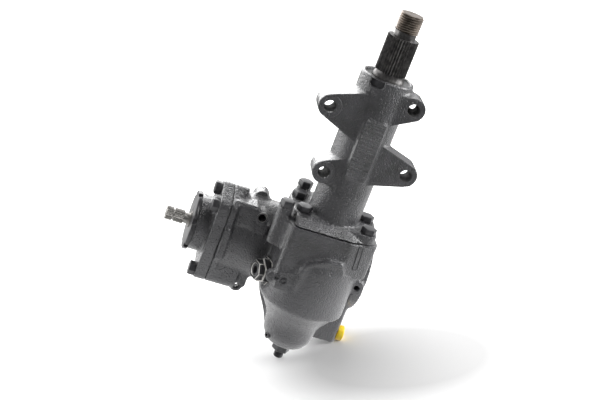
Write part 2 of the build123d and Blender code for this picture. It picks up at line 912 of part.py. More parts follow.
screw_retainer = ring(
    shaft_frame,
    screw_top - screw_head_t - free_gap - retainer_t,
    screw_top - screw_head_t - free_gap,
    screw_pocket_r,
    screw_r + free_gap,
)
save(screw_retainer, "screw_retainer")

with BuildPart() as adjuster_lock_nut:
    with BuildSketch(shaft_frame.offset(bowl_floor)):
        Circle(lock_washer_r)
    extrude(amount=-lock_washer_t)
    with BuildSketch(shaft_frame.offset(bowl_floor - lock_washer_t)):
        RegularPolygon(lock_nut_af / sqrt(3), 6)
    extrude(amount=-lock_nut_t + lock_washer_t)
    chamfer(adjuster_lock_nut.faces().sort_by(shaft_axis)[0].edges(), hex_chamfer)
    with BuildSketch(shaft_frame.offset(bowl_floor)):
        Circle(screw_r + thread_gap)
    extrude(amount=-lock_nut_t, mode=Mode.SUBTRACT)
save(adjuster_lock_nut, "adjuster_lock_nut")


# Rack piston: the ball nut, with the rack cut across its front and a ring at its head
space_half = (tooth_pitch + backlash) / 4
tooth_slope = tan(radians(pressure_angle))
rack_tip = rack_line + addendum
rack_root = rack_line - addendum - tooth_clearance
space_root = space_half - (rack_line - rack_root) * tooth_slope
space_tip = space_half + addendum * tooth_slope
with BuildLine() as worm_track:
    Helix(
        worm_lead,
        worm_track_turns * worm_lead,
        ball_circle_r,
        center=on_worm(0, 0, worm_track_start),
        direction=worm_frame.z_dir,
    )
nut_track_start = worm_track_start + nut_track_turns * worm_lead
with BuildLine() as nut_track:
    Helix(
        worm_lead,
        nut_track_turns * worm_lead,
        ball_circle_r,
        center=on_worm(0, 0, nut_track_start),
        direction=worm_frame.z_dir,
    )
track_foot = worm_frame.to_local_coords(nut_track.line @ 0)
guide_turn = (180 - degrees(atan2(track_foot.Y, track_foot.X))) % 360 / 360
guide_foot = nut_track_start + guide_turn * worm_lead
guide_top = guide_foot + worm_lead
pocket_foot = guide_foot - guide_r - 1
pocket_top = guide_top + guide_r + 1
guide_middle = (guide_foot + guide_top) / 2
clamp_frame = Plane(
    origin=on_worm(-clamp_top, 0, guide_middle), x_dir=worm_frame.z_dir, z_dir=-worm_frame.x_dir
)
screw_places = [(0, clamp_screw_spacing / 2), (0, -clamp_screw_spacing / 2)]

with BuildPart() as rack_piston:
    with BuildSketch(worm_frame.offset(piston_foot)):
        Circle(piston_r)
    extrude(amount=piston_top - piston_foot)
    chamfer(rack_piston.edges().filter_by(GeomType.CIRCLE), 1)
    with BuildSketch(rack_side):
        with BuildLine():
            Polyline(
                (piston_foot - 1, rack_tip),
                (rack_top, rack_tip),
                (rack_top, bore_r + 1),
                (piston_foot - 1, bore_r + 1),
                close=True,
            )
        make_face()
        with Locations(*[(k * tooth_pitch, rack_line) for k in (-1, 0, 1)]):
            Polygon(
                (-space_root, rack_root - rack_line),
                (space_root, rack_root - rack_line),
                (space_tip, addendum),
                (-space_tip, addendum),
                align=None,
            )
    extrude(amount=bore_r, both=True, mode=Mode.SUBTRACT)
    with BuildSketch(worm_frame.offset(nut_foot)):
        Circle(worm_r + free_gap)
    extrude(amount=piston_top - nut_foot, mode=Mode.SUBTRACT)
    with BuildSketch(Plane(origin=nut_track.line @ 0, z_dir=nut_track.line % 0)):
        Circle(ball_r + track_gap)
    sweep(path=nut_track.line, is_frenet=True, mode=Mode.SUBTRACT)
    with BuildSketch(worm_frame.offset(piston_ring_foot)):
        Circle(bore_r + 1)
        Circle(piston_r - piston_ring_depth, mode=Mode.SUBTRACT)
    extrude(amount=piston_ring_t, mode=Mode.SUBTRACT)
    with BuildSketch(rack_side):
        with Locations((pocket_foot, -pocket_floor)):
            Rectangle(pocket_top - pocket_foot, bore_r, align=(Align.MIN, Align.MAX))
    extrude(amount=clamp_width / 2 + 1, both=True, mode=Mode.SUBTRACT)
    with BuildSketch(Plane(origin=on_worm(0, 0, 0), x_dir=worm_frame.z_dir, z_dir=-worm_frame.x_dir)):
        with Locations((guide_foot, 0), (guide_top, 0)):
            Circle(guide_r + thread_gap)
    extrude(amount=bore_r, mode=Mode.SUBTRACT)
    with BuildSketch(clamp_frame):
        with Locations(*screw_places):
            Circle(clamp_screw_r + thread_gap)
    extrude(amount=-clamp_screw_l - free_gap, mode=Mode.SUBTRACT)
save(rack_piston, "rack_piston")


# Piston ring, balls in their track, and the return guide with its clamp
piston_ring = ring(
    worm_frame,
    piston_ring_foot + running_fit,
    piston_ring_foot + piston_ring_t - running_fit,
    bore_r - seal_fit,
    piston_r - piston_ring_depth + running_fit,
)
save(piston_ring, "piston_ring")

ball_count = int(360 / ball_step)
with BuildPart() as track_balls:
    for k in range(ball_count):
        at = (guide_turn + (k + ball_start) / ball_count) / nut_track_turns
        with Locations(nut_track.line @ at):
            Sphere(ball_r)
save(track_balls, "track_balls")

with BuildPart() as ball_guide:
    with BuildLine() as guide_path:
        FilletPolyline(
            on_worm(-ball_circle_r - ball_r, 0, guide_foot),
            on_worm(-guide_line, 0, guide_foot),
            on_worm(-guide_line, 0, guide_top),
            on_worm(-ball_circle_r - ball_r, 0, guide_top),
            radius=guide_bend_r,
        )
    with BuildSketch(Plane(origin=guide_path.line @ 0, z_dir=guide_path.line % 0)):
        Circle(guide_r)
        Circle(guide_bore_r, mode=Mode.SUBTRACT)
    sweep(path=guide_path.line)
save(ball_guide, "ball_guide")

with BuildPart() as guide_clamp:
    with BuildSketch(worm_frame.offset(guide_middle - clamp_l / 2)):
        with Locations((-pocket_floor, 0)):
            Rectangle(clamp_top - pocket_floor, clamp_width, align=(Align.MAX, Align.CENTER))
        with Locations((-guide_line, 0)):
            Circle(guide_r + thread_gap, mode=Mode.SUBTRACT)
        with Locations((-pocket_floor, 0)):
            Rectangle(
                guide_line - pocket_floor,
                2 * guide_r + 2 * thread_gap,
                align=(Align.MAX, Align.CENTER),
                mode=Mode.SUBTRACT,
            )
    extrude(amount=clamp_l)
    with BuildSketch(clamp_frame):
        with Locations(*screw_places):
            Circle(clamp_screw_r + thread_gap)
    extrude(amount=-clamp_top, mode=Mode.SUBTRACT)
save(guide_clamp, "guide_clamp")

with BuildPart() as guide_screws:
    with BuildSketch(clamp_frame):
        with Locations(*screw_places):
            Circle(clamp_screw_head_r)
    extrude(amount=clamp_screw_head)
    with BuildSketch(clamp_frame):
        with Locations(*screw_places):
            Circle(clamp_screw_r)
    extrude(amount=-clamp_screw_l)
save(guide_screws, "guide_screws")


# Worm, with the ball track, the thrust collar and the slot that drives the input shaft
with BuildPart() as worm_shaft:
    with BuildSketch(worm_frame.offset(worm_foot)):
        Circle(worm_r)
    extrude(amount=collar_top - worm_foot)
    with BuildSketch(worm_frame.offset(collar_foot)):
        Circle(collar_r)
    extrude(amount=collar_top - collar_foot)
    with BuildSketch(Plane(origin=worm_track.line @ 0, z_dir=worm_track.line % 0)):
        Circle(ball_r + track_gap)
    sweep(path=worm_track.line, is_frenet=True, mode=Mode.SUBTRACT)
    with BuildSketch(worm_frame.offset(worm_bore_foot)):
        Circle(worm_bore_r)
    extrude(amount=collar_top - worm_bore_foot, mode=Mode.SUBTRACT)
    with BuildSketch(worm_frame.offset(collar_top - tongue_depth - free_gap)):
        RectangleRounded(
            tongue_width + 2 * tongue_r * sin(radians(valve_swing)) + 2 * running_fit,
            2 * tongue_r + 2 * free_gap,
            1,
        )
    extrude(amount=tongue_depth + free_gap, mode=Mode.SUBTRACT)
save(worm_shaft, "worm_shaft")

worm_seal = ring(
    worm_frame, partition_top - worm_seal_l, partition_top, worm_seal_r, worm_r + seal_fit
)
save(worm_seal, "worm_seal")
inner_thrust_bearing = ring(
    worm_frame,
    partition_top,
    collar_foot - running_fit,
    collar_r,
    worm_seal_r + thrust_bearing_wall,
)
save(inner_thrust_bearing, "inner_thrust_bearing")
outer_thrust_bearing = ring(
    worm_frame, collar_top + running_fit, seam, collar_r, sleeve_r + free_gap
)
save(outer_thrust_bearing, "outer_thrust_bearing")


# Torsion bar, held in the input shaft by a pin, and its pin
with BuildPart() as torsion_bar:
    with BuildSketch(worm_frame.offset(bar_foot)):
        Circle(worm_bore_r - running_fit)
    extrude(amount=bar_foot_l)
    with BuildSketch(worm_frame.offset(bar_foot)):
        Circle(torsion_bar_r)
    extrude(amount=bar_top - bar_foot)
    with BuildSketch(worm_frame.offset(bar_top - bar_head_l)):
        Circle(worm_bore_r - running_fit)
    extrude(amount=bar_head_l)
    with BuildSketch(pin_frame):
        Circle(bar_pin_r)
    extrude(amount=rotor_r, both=True, mode=Mode.SUBTRACT)
save(torsion_bar, "torsion_bar")

with BuildPart() as bar_pin:
    with BuildSketch(pin_frame):
        Circle(bar_pin_r)
    extrude(amount=rotor_r - running_fit - free_gap, both=True)
save(bar_pin, "bar_pin")


# Rotary valve: slotted rotor on the input shaft, inside a sleeve that turns with the worm
with BuildPart() as valve_sleeve:
    with BuildSketch(worm_frame.offset(collar_top)):
        Circle(sleeve_r)
        Circle(rotor_r, mode=Mode.SUBTRACT)
    extrude(amount=sleeve_top - collar_top)
    for at in sleeve_ring_feet:
        with BuildSketch(worm_frame.offset(at)):
            Circle(sleeve_r + 1)
            Circle(sleeve_r - sleeve_ring_depth, mode=Mode.SUBTRACT)
        extrude(amount=sleeve_ring_t, mode=Mode.SUBTRACT)
    for at in sleeve_port_rows:
        with BuildSketch(worm_frame.offset(at)):
            with PolarLocations(sleeve_r - 4, valve_slots):
                Rectangle(2 * sleeve_r, 2 * sleeve_port_r)
            Circle(rotor_r - 1, mode=Mode.SUBTRACT)
        extrude(amount=2 * sleeve_port_r, mode=Mode.SUBTRACT)
save(valve_sleeve, "valve_sleeve")

with BuildPart() as sleeve_rings:
    for at in sleeve_ring_feet:
        with BuildSketch(worm_frame.offset(at + running_fit)):
            Circle(sleeve_r + running_fit - seal_fit)
            Circle(sleeve_r - sleeve_ring_depth + running_fit, mode=Mode.SUBTRACT)
        extrude(amount=sleeve_ring_t - 2 * running_fit)
save(sleeve_rings, "sleeve_rings")

with BuildPart() as input_shaft:
    with BuildSketch(worm_side):
        with BuildLine():
            Polyline(
                (collar_top + free_gap, 0),
                (collar_top + free_gap, rotor_r - running_fit),
                (sleeve_top, rotor_r - running_fit),
                (sleeve_top, input_journal_r),
                (input_journal_top, input_journal_r),
                (input_journal_top, input_neck_r),
                (input_land_foot, input_neck_r),
                (input_land_foot, input_land_r - input_serration_depth),
                (input_groove_foot, input_land_r - input_serration_depth),
                (input_groove_foot, input_groove_r),
                (input_groove_top, input_groove_r),
                (input_groove_top, input_land_r - input_serration_depth),
                (input_top, input_land_r - input_serration_depth),
                (input_top, 0),
                close=True,
            )
        make_face()
    revolve(axis=worm_axis)
    for foot, top in ((input_land_foot, input_groove_foot), (input_groove_top, input_top)):
        with BuildSketch(worm_frame.offset(foot)):
            Polygon(
                *serration_points(input_land_r, input_serrations, input_serration_depth),
                align=None,
            )
        extrude(amount=top - foot)
    chamfer(input_shaft.faces().sort_by(worm_axis)[-1].edges(), input_chamfer)
    with BuildSketch(worm_frame.offset(collar_top - tongue_depth)):
        Circle(tongue_r)
        Rectangle(tongue_width, 4 * tongue_r, mode=Mode.INTERSECT)
    extrude(amount=tongue_depth + 1)
    with BuildSketch(worm_frame.offset(collar_top + valve_slot_end)):
        with PolarLocations(rotor_r, valve_slots):
            Rectangle(2 * valve_slot_depth, valve_slot_width)
    extrude(amount=sleeve_top - collar_top - 2 * valve_slot_end, mode=Mode.SUBTRACT)
    with BuildSketch(worm_frame.offset(collar_top - tongue_depth)):
        Circle(worm_bore_r)
    extrude(amount=bar_top - collar_top + tongue_depth + free_gap, mode=Mode.SUBTRACT)
    with BuildSketch(pin_frame):
        Circle(bar_pin_r)
    extrude(amount=rotor_r, both=True, mode=Mode.SUBTRACT)
save(input_shaft, "input_shaft")


# Valve cover: the iron flange and bearing cap bolted on at the seam
with BuildPart() as valve_cover:
    with BuildSketch(worm_frame.offset(seam)):
        lobed_outline(cover_bolt_places, seam_flange_r)
    extrude(amount=cover_t)
    chamfer(valve_cover.faces().sort_by(worm_axis)[-1].edges(), cover_chamfer)
    with BuildSketch(worm_frame.offset(cover_front)):
        Circle(cap_r)
    extrude(amount=ring_foot - cover_front)
    with BuildSketch(worm_frame.offset(seam)):
        Circle(sleeve_r + running_fit)
    extrude(amount=adjuster_foot - seam, mode=Mode.SUBTRACT)
    with BuildSketch(worm_frame.offset(adjuster_foot - 1)):
        Circle(adjuster_r + thread_gap)
    extrude(amount=ring_foot - adjuster_foot + 1, mode=Mode.SUBTRACT)
    with BuildSketch(worm_frame.offset(seam)):
        with Locations(*cover_bolt_places):
            Circle(cover_bolt_r + thread_gap)
    extrude(amount=cover_t, mode=Mode.SUBTRACT)
save(valve_cover, "valve_cover")

cover_o_ring = o_ring(worm_axis, worm_side, seam - o_ring_r, cover_o_ring_r, o_ring_r - thread_gap)
save(cover_o_ring, "cover_o_ring")
cover_bolts = hex_bolts(
    worm_frame,
    cover_bolt_places,
    cover_front,
    cover_bolt_af,
    cover_bolt_head,
    cover_bolt_r,
    cover_bolt_l,
)
save(cover_bolts, "cover_bolts")


# Bearing adjuster: the notched ring that sets the worm's bearings and holds the input seal
with BuildPart() as bearing_adjuster:
    with BuildSketch(worm_side):
        with BuildLine():
            Polyline(
                (adjuster_foot, input_bearing_r),
                (adjuster_foot, adjuster_r),
                (ring_foot, adjuster_r),
                (ring_foot, ring_r),
                (ring_top - hex_chamfer, ring_r),
                (ring_top, ring_r - hex_chamfer),
                (ring_top, input_journal_r + free_gap),
                (ring_top - adjuster_lip, input_journal_r + free_gap),
                (ring_top - adjuster_lip, input_bearing_r),
                close=True,
            )
        make_face()
    revolve(axis=worm_axis)
    with BuildSketch(worm_frame.offset(ring_foot)):
        with PolarLocations(ring_r, ring_notches, start_angle=ring_notch_turn):
            Rectangle(2 * ring_notch_depth, ring_notch_width)
    extrude(amount=ring_t, mode=Mode.SUBTRACT)
save(bearing_adjuster, "bearing_adjuster")

input_bearing = ring(
    worm_frame,
    adjuster_foot,
    adjuster_foot + input_bearing_l,
    input_bearing_r,
    input_journal_r + running_fit,
)
save(input_bearing, "input_bearing")
input_seal = ring(
    worm_frame,
    adjuster_foot + input_bearing_l,
    ring_top - adjuster_lip,
    input_bearing_r,
    input_journal_r + seal_fit,
)
save(input_seal, "input_seal")


# End cover, its seal and the snap ring that holds it in the cylinder
with BuildPart() as end_cover:
    with BuildSketch(worm_frame.offset(end_cover_foot)):
        Circle(bore_r - running_fit)
    extrude(amount=end_cover_t)
    with BuildSketch(worm_frame.offset(end_cover_foot)):
        Circle(end_cover_boss_r)
    extrude(amount=-end_cover_boss_t)
    with BuildSketch(worm_frame.offset(end_cover_foot + end_cover_t / 2 - o_ring_r)):
        Circle(bore_r)
        Circle(bore_r - 2 * o_ring_r, mode=Mode.SUBTRACT)
    extrude(amount=2 * o_ring_r, mode=Mode.SUBTRACT)
save(end_cover, "end_cover")

end_cover_o_ring = o_ring(
    worm_axis,
    worm_side,
    end_cover_foot + end_cover_t / 2,
    bore_r - o_ring_r,
    o_ring_r - seal_fit,
)
save(end_cover_o_ring, "end_cover_o_ring")

with BuildPart() as end_ring:
    with BuildSketch(worm_frame.offset(end_cover_foot - end_ring_t)):
        Circle(bore_r + end_ring_groove - thread_gap)
        Circle(bore_r - end_ring_in, mode=Mode.SUBTRACT)
        with Locations((0, -bore_r)):
            Rectangle(end_ring_gap, 4 * end_ring_in, mode=Mode.SUBTRACT)
    extrude(amount=end_ring_t)
save(end_ring, "end_ring")


# Hydraulic union: hex body screwed into its boss, with a bare steel nipple
with BuildPart() as union_body:
    with BuildSketch(union_frame):
        RegularPolygon(union_af / sqrt(3), 6)
    extrude(amount=union_t)
    chamfer(
        union_body.faces().sort_by(Axis(union_frame.origin, union_direction))[-1].edges(),
        hex_chamfer,
    )
    with BuildSketch(union_frame):
        Circle(union_shank_r)
    extrude(amount=-union_shank_l)
    with BuildSketch(union_frame.offset(-union_shank_l)):
        Circle(nipple_r + thread_gap)
    extrude(amount=union_shank_l + union_t, mode=Mode.SUBTRACT)
save(union_body, "union_body")

union_nipple = ring(union_frame, -union_shank_l, union_t + nipple_out, nipple_r, nipple_bore_r)
save(union_nipple, "union_nipple")


# Transit plug: a yellow plastic cap pushed into the return port for shipping
with BuildPart() as transit_plug:
    with BuildSketch(transit_frame):
        Circle(transit_r)
    extrude(amount=transit_t)
    plug_end = transit_plug.faces().sort_by(Axis(transit_frame.origin, transit_frame.z_dir))[-1]
    fillet(plug_end.edges(), transit_round)
    with BuildSketch(transit_frame):
        Circle(transit_shank_r - running_fit)
    extrude(amount=-transit_shank_l)
save(transit_plug, "transit_plug")
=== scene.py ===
from math import ceil, cos, pi, radians, sin

import bmesh
import bpy
import numpy as np
from mathutils import Matrix, Vector


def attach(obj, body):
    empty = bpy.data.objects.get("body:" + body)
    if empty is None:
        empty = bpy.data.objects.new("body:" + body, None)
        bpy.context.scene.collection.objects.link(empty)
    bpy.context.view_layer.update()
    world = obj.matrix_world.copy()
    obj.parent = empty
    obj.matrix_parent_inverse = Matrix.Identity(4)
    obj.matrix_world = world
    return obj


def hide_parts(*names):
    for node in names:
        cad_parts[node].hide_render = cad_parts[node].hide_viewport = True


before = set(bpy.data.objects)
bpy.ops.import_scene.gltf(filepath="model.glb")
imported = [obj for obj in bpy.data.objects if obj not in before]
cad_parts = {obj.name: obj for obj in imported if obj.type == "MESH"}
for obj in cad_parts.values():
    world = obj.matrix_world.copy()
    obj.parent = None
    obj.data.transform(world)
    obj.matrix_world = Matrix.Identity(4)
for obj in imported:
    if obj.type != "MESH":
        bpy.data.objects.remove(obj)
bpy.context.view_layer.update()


# The camera stands where the photograph was taken: a little to the left of the
# mounting face, looking down at about 22 degrees, with a short telephoto lens.
sight_right = Vector((0.9943, -0.0686, 0.0821))
sight_up = Vector((-0.0491, 0.3888, 0.92))
sight_back = Vector((-0.095, -0.9188, 0.3832))
camera_place = Vector((-0.197, -1.231, 0.440))
focal_length = 71.9
sensor_width = 36


def placed(name, data):
    thing = bpy.data.objects.new(name, data)
    bpy.context.scene.collection.objects.link(thing)
    return thing


camera_data = bpy.data.cameras.new("studio_camera")
camera_data.lens = focal_length
camera_data.sensor_width = sensor_width
camera = placed("studio_camera", camera_data)
sight_turn = Matrix((sight_right, sight_up, sight_back)).transposed()
camera.matrix_world = Matrix.Translation(camera_place) @ sight_turn.to_4x4()
bpy.context.scene.camera = camera
bpy.context.scene.view_settings.view_transform = "Standard"


# The floor is a white board in a studio, painted matt. The gearbox leans on its
# adjusting screw and on the foot of the port block, so the board is tilted to both.
floor_tilt = radians(-8.25)
floor_touch = Vector((-0.0726, 0.05, -0.2902))
floor_reach = 6


def linear(code):
    parts = [int(code[i:i + 2], 16) / 255 for i in (1, 3, 5)]
    return (*[p / 12.92 if p < 0.04045 else ((p + 0.055) / 1.055) ** 2.4 for p in parts], 1)


def add(tree, kind, inputs, **settings):
    """Adds a node. Each of its inputs is given a value or another node's output."""
    node = tree.nodes.new(kind)
    for name, value in settings.items():
        setattr(node, name, value)
    for socket, value in inputs.items():
        if isinstance(value, bpy.types.NodeSocket):
            tree.links.new(value, node.inputs[socket])
        else:
            node.inputs[socket].default_value = value
    return node


def new_finish(name, values):
    """Starts a material, with the constants of its shader."""
    finish = bpy.data.materials.new(name)
    finish.use_nodes = True
    shader = finish.node_tree.nodes["Principled BSDF"]
    for socket, value in values.items():
        shader.inputs[socket].default_value = value
    return finish, finish.node_tree, shader


def as_mesh(metal, name):
    mesh = bpy.data.meshes.new(name)
    metal.to_mesh(mesh)
    metal.free()
    return mesh


board = bmesh.new()
bmesh.ops.create_grid(board, x_segments=1, y_segments=1, size=floor_reach)
bmesh.ops.rotate(board, cent=(0, 0, 0), matrix=Matrix.Rotation(floor_tilt, 3, "Y"), verts=board.verts)
bmesh.ops.translate(board, vec=floor_touch, verts=board.verts)
floor = placed("floor", as_mesh(board, "floor"))

# White matt paint, drawn grey. Round the gearbox lies a painted shadow, an ellipse where the grey
# shows, and further off it is lifted to pure white. In a glossy surface it is a painted reflection.
floor_paint, tree, shader = new_finish("white matt studio floor, painted shadow and reflection", {
    "Base Color": linear("#d0d0d0"), "Roughness": 0.9, "Specular IOR Level": 0.1,
})
# Painted shadow: camera rays see the grey floor lifted to white, except in this squashed ellipse round the
# gearbox.
painted_shadow_middle = (0.036, 0, 0)
painted_shadow_squash = (0.55, 0.85, 0)
reflection_glow_middle = (-0.12, 0.22, -0.29)
rays = add(tree, "ShaderNodeLightPath", {})
place = add(tree, "ShaderNodeTexCoord", {}).outputs["Object"]
squashed = add(tree, "ShaderNodeVectorMath", {0: place, 1: painted_shadow_squash}, operation="MULTIPLY")
off_painted_shadow = add(tree, "ShaderNodeVectorMath", {0: squashed.outputs[0], 1: painted_shadow_middle}, operation="DISTANCE")
painted_shadow_fade = add(tree, "ShaderNodeMapRange", {
    "Value": off_painted_shadow.outputs["Value"], "From Min": 0.055, "From Max": 0.155,
})
lift = add(tree, "ShaderNodeMath", {
    0: rays.outputs["Is Camera Ray"], 1: painted_shadow_fade.outputs[0],
}, operation="MULTIPLY")
glow = add(tree, "ShaderNodeEmission", {"Strength": lift.outputs[0]})
seen = add(tree, "ShaderNodeAddShader", {0: shader.outputs[0], 1: glow.outputs[0]})
# Painted reflection: glossy rays see the floor glow as a bright sheet, dimmer with distance, whatever light
# or shadow falls on it.
off_reflection_glow = add(tree, "ShaderNodeVectorMath", {0: place, 1: reflection_glow_middle}, operation="DISTANCE")
reflection_glow_fade = add(tree, "ShaderNodeMapRange", {
    "Value": off_reflection_glow.outputs["Value"], "From Min": 0.42, "From Max": 0.85, "To Min": 1.1, "To Max": 0.15,
})
painted_reflection = add(tree, "ShaderNodeEmission", {"Strength": reflection_glow_fade.outputs[0]})
both = add(tree, "ShaderNodeMixShader", {
    0: rays.outputs["Is Glossy Ray"], 1: seen.outputs[0], 2: painted_reflection.outputs[0],
})
tree.links.new(both.outputs[0], tree.nodes["Material Output"].inputs["Surface"])
floor.data.materials.append(floor_paint)

# The studio is white in the picture. What lights the gearbox is a pale backdrop behind
# it and a dim room in front, so its edges turn light and its front stays dark.
world = bpy.data.worlds.new("studio")
bpy.context.scene.world = world
world.use_nodes = True
tree = world.node_tree
tree.nodes.clear()
rays = add(tree, "ShaderNodeLightPath", {})
heading = add(tree, "ShaderNodeTexCoord", {}).outputs["Generated"]
ahead = add(tree, "ShaderNodeVectorMath", {0: heading, 1: -sight_back}, operation="DOT_PRODUCT")
backdrop = add(tree, "ShaderNodeMapRange", {
    "Value": ahead.outputs["Value"], "From Min": 0.1, "From Max": 0.8, "To Min": 0.22, "To Max": 0.95,
})
room = add(tree, "ShaderNodeBackground", {"Color": linear("#ffffff"), "Strength": backdrop.outputs[0]})
white = add(tree, "ShaderNodeBackground", {"Color": linear("#ffffff"), "Strength": 1.0})
both = add(tree, "ShaderNodeMixShader", {
    0: rays.outputs["Is Camera Ray"], 1: room.outputs[0], 2: white.outputs[0],
})
add(tree, "ShaderNodeOutputWorld", {"Surface": both.outputs[0]})

# Four softboxes: a large one above and behind whitens the upper edges, one on each side
# fills the flanks, and a small weak one in front picks out the grain of the castings.
# Each place is given in metres to the right, upwards and towards the camera.
lamp_aim = Vector((-0.075, 0.05, -0.06))
for name, to_right, upwards, nearer, size, watts in (
    ("back_softbox", -0.35, 1.05, -0.75, 1.5, 32),
    ("left_softbox", -1.35, 0.3, -0.1, 1.2, 13),
    ("right_softbox", 1.3, 0.25, 0.05, 0.9, 24),
    ("front_softbox", 0.55, 0.75, 0.85, 0.3, 4),
):
    lamp_data = bpy.data.lights.new(name, "AREA")
    lamp_data.size = size
    lamp_data.energy = watts
    arm = sight_right * to_right + sight_up * upwards + sight_back * nearer
    lamp = placed(name, lamp_data)
    lamp_turn = arm.to_track_quat("Z", "Y").to_matrix()
    lamp.matrix_world = Matrix.Translation(lamp_aim + arm) @ lamp_turn.to_4x4()


# The gear housing is one grey-iron sand casting: the sector bowl, the worm cylinder,
# the bolt block and the ports. The skin closed over its joints makes the fillets that a
# pattern has, and the finished unit is sprayed black.
mm = 0.001
shaft_lean = radians(15)
shaft_right = Vector((cos(shaft_lean), 0, -sin(shaft_lean)))
shaft_up = Vector((sin(shaft_lean), 0, cos(shaft_lean)))
away = Vector((0, 1, 0))
shaft_depth = 26
worm_back = 56
worm_height = -183.5


def on_shaft(right, back, height):
    """A place in mm from the sector shaft's axis and the middle of the ears."""
    return (shaft_right * right + away * (shaft_depth + back) + shaft_up * height) * mm


def on_worm(forward, up, out):
    """A place in mm from the worm's axis, with out towards the input end."""
    return on_shaft(-out, worm_back - forward, worm_height + up)


def cad_copy(name):
    metal = bmesh.new()
    metal.from_mesh(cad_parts[name].data)
    bmesh.ops.remove_doubles(metal, verts=metal.verts, dist=1e-6)
    return metal


def pour(metal, front, root):
    """Draws a block of iron from the outline at its root out to the one at its front."""
    foot = metal.faces.new([metal.verts.new(corner) for corner in root])
    drawn = bmesh.ops.extrude_face_region(metal, geom=[foot], use_keep_orig=True)["geom"]
    end = next(part for part in drawn if isinstance(part, bmesh.types.BMFace))
    for vert, corner in zip(end.verts, front):
        vert.co = corner
    sides = [face for edge in foot.edges for face in edge.link_faces if face != foot]
    bmesh.ops.recalc_face_normals(metal, faces=[foot, end, *sides])


def skin(mesh, grain):
    """Closes one voxel skin over all the blocks of a casting."""
    holder = placed("skin", mesh)
    remesh = holder.modifiers.new("skin", "REMESH")
    remesh.mode = "VOXEL"
    remesh.voxel_size = grain
    remesh.use_smooth_shade = True
    closed = bpy.data.meshes.new_from_object(holder.evaluated_get(bpy.context.evaluated_depsgraph_get()))
    bpy.data.objects.remove(holder)
    return closed


def swell(mesh, amount, holes):
    """Moves a skin out along its normals, but not within 3 mm of a hole that stays open."""
    points = np.empty(3 * len(mesh.vertices))
    normals = np.empty(3 * len(mesh.vertices))
    mesh.vertices.foreach_get("co", points)
    mesh.vertices.foreach_get("normal", normals)
    points = points.reshape(-1, 3)
    share = np.ones(len(points))
    for centre, r in holes:
        share *= np.clip((np.linalg.norm(points - np.array(centre), axis=1) - r) / (3 * mm), 0, 1)
    points += normals.reshape(-1, 3) * (amount * share)[:, None]
    mesh.vertices.foreach_set("co", points.ravel())
    mesh.update()


def set_in(name, mesh, finishes, body, stands_for=None):
    mesh.materials.clear()
    for finish in finishes:
        mesh.materials.append(finish)
    piece = placed(name, mesh)
    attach(piece, body)
    if stands_for:
        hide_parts(stands_for)
    return piece


# A casting is thinned to this many faces, which keeps it under 200,000 triangles.
most_faces = 95000
knee_strokes = 60


def casting(name, grain, fillet, finish, holes=(), forms=(), knee=None):
    """Turns a CAD node and the forms poured on it into a casting with fillets, in metres."""
    metal = cad_copy(name)
    for front, root in forms:
        pour(metal, front, root)
    mesh = skin(as_mesh(metal, name), grain)
    swell(mesh, fillet, holes)
    mesh = skin(mesh, grain)
    swell(mesh, -fillet, holes)
    metal = bmesh.new()
    metal.from_mesh(mesh)
    all_round = {"use_axis_x": True, "use_axis_y": True, "use_axis_z": True}
    bmesh.ops.smooth_vert(metal, verts=metal.verts, factor=0.4, **all_round)
    if knee:
        metal.normal_update()
        bend = [vert for vert in metal.verts if knee(vert)]
        for _ in range(knee_strokes):
            bmesh.ops.smooth_vert(metal, verts=bend, factor=0.5, **all_round)
    for face in metal.faces:
        face.smooth = True
    cast = set_in(name + "_casting", as_mesh(metal, name), [finish], "housing", name)
    thinning = cast.modifiers.new("thinning", "DECIMATE")
    thinning.ratio = min(1, most_faces / len(cast.data.polygons))


def clouded(tree, shader, size, detail, dark, light, start=0.0, end=1.0):
    """Gives a finish two tones in clouds of a size in mm."""
    place = add(tree, "ShaderNodeTexCoord", {}).outputs["Object"]
    noise = add(tree, "ShaderNodeTexNoise", {"Vector": place, "Scale": 1 / (size * mm), "Detail": detail})
    cloud = noise.outputs[0]
    tone = add(tree, "ShaderNodeValToRGB", {0: cloud})
    for stop, position, colour in zip(tone.color_ramp.elements, (start, end), (dark, light)):
        stop.position = position
        stop.color = linear(colour)
    tree.links.new(tone.outputs[0], shader.inputs["Base Color"])
    return place, cloud, tone.outputs[0]


# Black enamel sprayed over cast iron: a glossy film on a rough ground, painted greyer low
# down as painted light from the white floor. The grain of the moulding sand is about 0.8 mm.
# It is drawn as 1.8 mm, with pores 3.3 mm apart, because it wouldn't show at its own size.
sand_grain = 1.786
pore_spacing = 3.333
hollow_size = 6.25
patch_size = 26.32
painted_floor_light_top = -130 * mm
painted_floor_light_foot = -200 * mm
black_enamel, tree, shader = new_finish("black enamel on cast iron", {
    "IOR": 1.5, "Coat Weight": 0.9, "Coat Roughness": 0.14,
})
place, cloud, tone = clouded(tree, shader, patch_size, 3, "#363638", "#4a4a4d", 0.35, 0.7)
level = add(tree, "ShaderNodeSeparateXYZ", {0: place})
